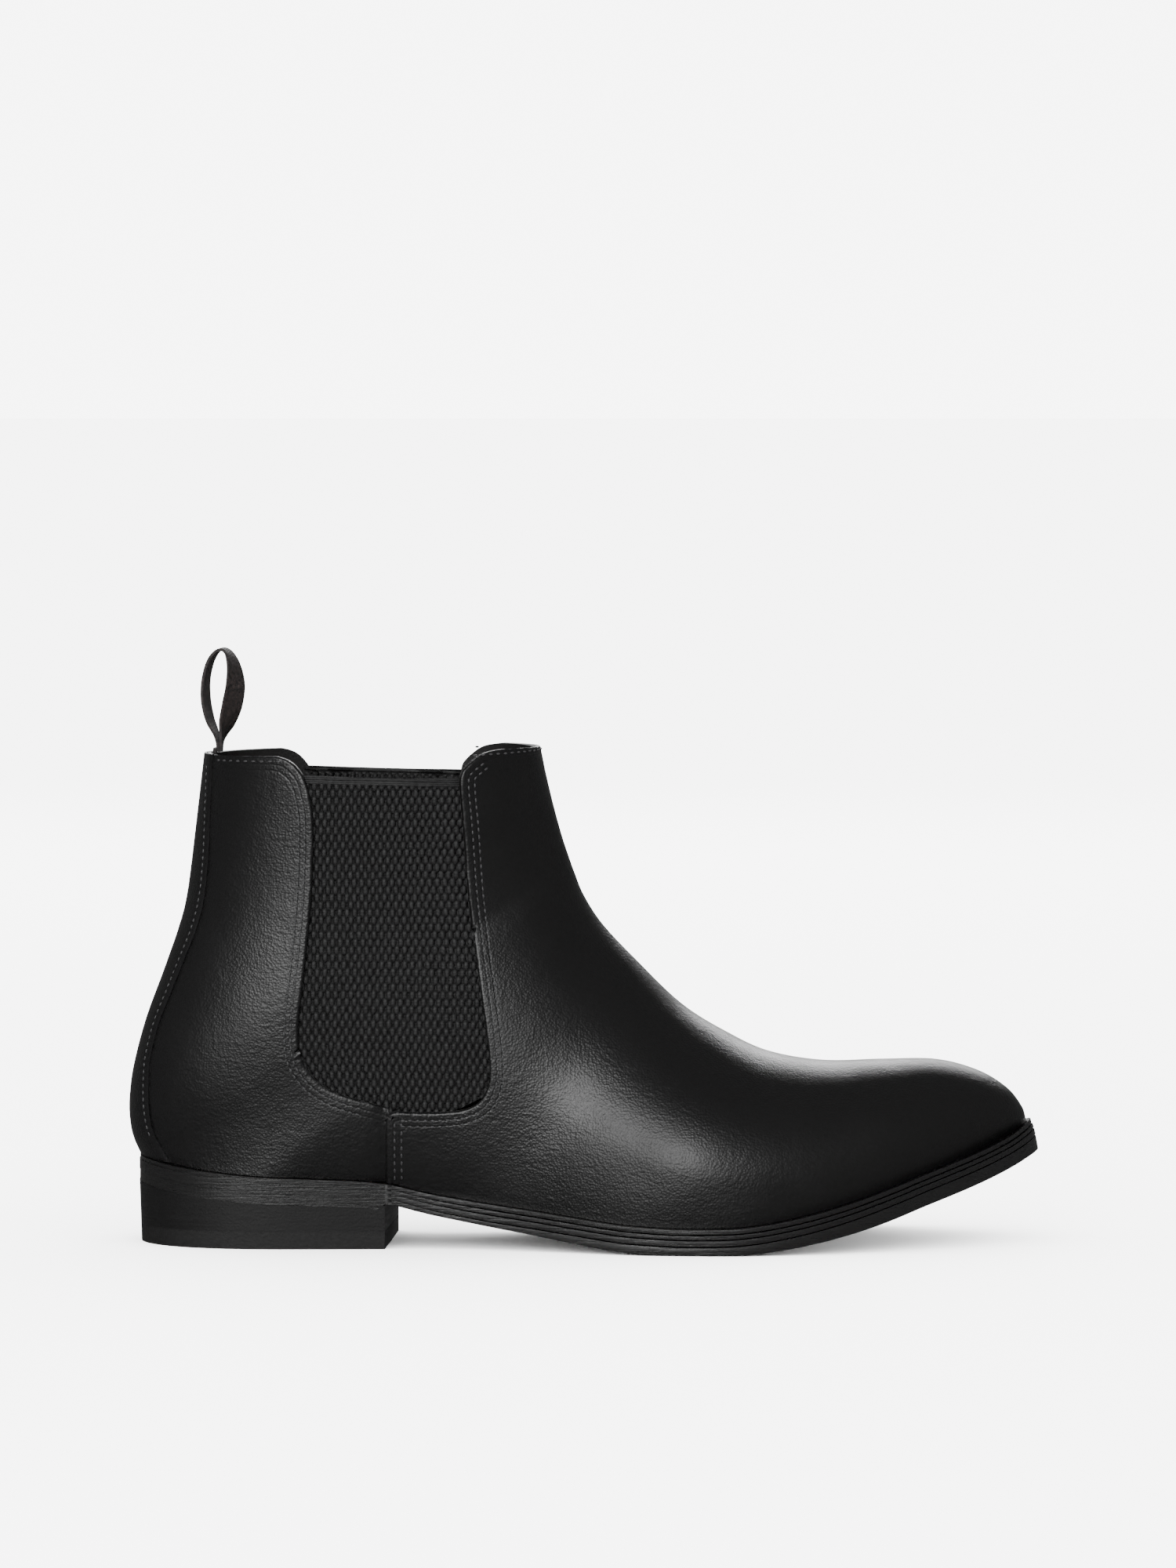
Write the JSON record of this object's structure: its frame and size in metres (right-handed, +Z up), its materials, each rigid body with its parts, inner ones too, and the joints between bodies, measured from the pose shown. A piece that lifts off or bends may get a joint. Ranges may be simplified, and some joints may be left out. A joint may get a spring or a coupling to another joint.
{
  "type": "chelsea boot",
  "caption": "Black leather ankle boot for the right foot with elastic side panels, a pull loop at the back and a low stacked heel.",
  "frame": {"origin": "on the ground, under the middle of the boot's length and width", "axes": "+X towards the toe, +Y towards the inner side of the foot, +Z up"},
  "size_m": [0.3046, 0.1013, 0.198],
  "materials": {
    "black_calf": "smooth, semi-gloss",
    "lining_leather": "matte",
    "elastic": "ribbed weave",
    "webbing": "woven",
    "stiffener": "matte",
    "insole_board": "matte",
    "cork": "matte",
    "sole_leather": "inked and burnished",
    "heel_rubber": "matte",
    "steel": "plain"
  },
  "bodies": {
    "root": {"vamp": "black_calf", "vamp_lining": "lining_leather", "quarter_lateral": "black_calf", "quarter_medial": "black_calf", "quarter_lining_lateral": "lining_leather", "quarter_lining_medial": "lining_leather", "back_strip": "black_calf", "gusset_lateral": "elastic", "gusset_medial": "elastic", "heel_counter": "stiffener", "insole_backpart": "insole_board", "welt_lateral": "sole_leather", "welt_medial": "sole_leather", "heel_rand": "sole_leather", "midsole_backpart": "sole_leather", "outsole_backpart": "sole_leather", "heel_wedge_lift": "sole_leather", "heel_lift_1": "sole_leather", "heel_lift_2": "sole_leather", "heel_top_lift": "heel_rubber", "heel_screw": "steel", "steel_shank": "steel", "heel_pad": "lining_leather", "nail_1": "steel", "nail_2": "steel", "nail_3": "steel", "nail_4": "steel", "nail_5": "steel", "nail_6": "steel", "nail_7": "steel"},
    "forepart": {"vamp_toe": "black_calf", "vamp_lining_toe": "lining_leather", "toe_puff": "stiffener", "insole_forepart": "insole_board", "cork_filler": "cork", "welt_forepart": "sole_leather", "midsole_forepart": "sole_leather", "outsole_forepart": "sole_leather"},
    "collar_back": {"quarter_top_lateral": "black_calf", "quarter_top_medial": "black_calf", "quarter_lining_top_lateral": "lining_leather", "quarter_lining_top_medial": "lining_leather", "back_strip_top": "black_calf", "pull_loop_tab": "webbing"},
    "pull_loop": {"pull_loop": "webbing"}
  },
  "joints": [
    {"name": "toe_flex", "type": "hinge", "parent": "root", "child": "forepart", "pos_m": [0.03396, 0.00197, 0.0114], "axis": [-0.2079, -0.9781, 0], "range_deg": [0, 30], "stiffness_Nm_per_rad": 3, "deforming": ["vamp", "vamp_lining"]},
    {"name": "collar_open", "type": "hinge", "parent": "root", "child": "collar_back", "pos_m": [-0.13284, 0.00197, 0.1177], "axis": [0, -1, 0], "range_deg": [0, 12], "stiffness_Nm_per_rad": 1.2, "deforming": ["gusset_lateral", "gusset_medial"]},
    {"name": "loop_swing", "type": "hinge", "parent": "collar_back", "child": "pull_loop", "pos_m": [-0.12144, 0.00197, 0.166], "axis": [0, 1, 0], "range_deg": [-45, 45], "stiffness_Nm_per_rad": 0.01}
  ]
}
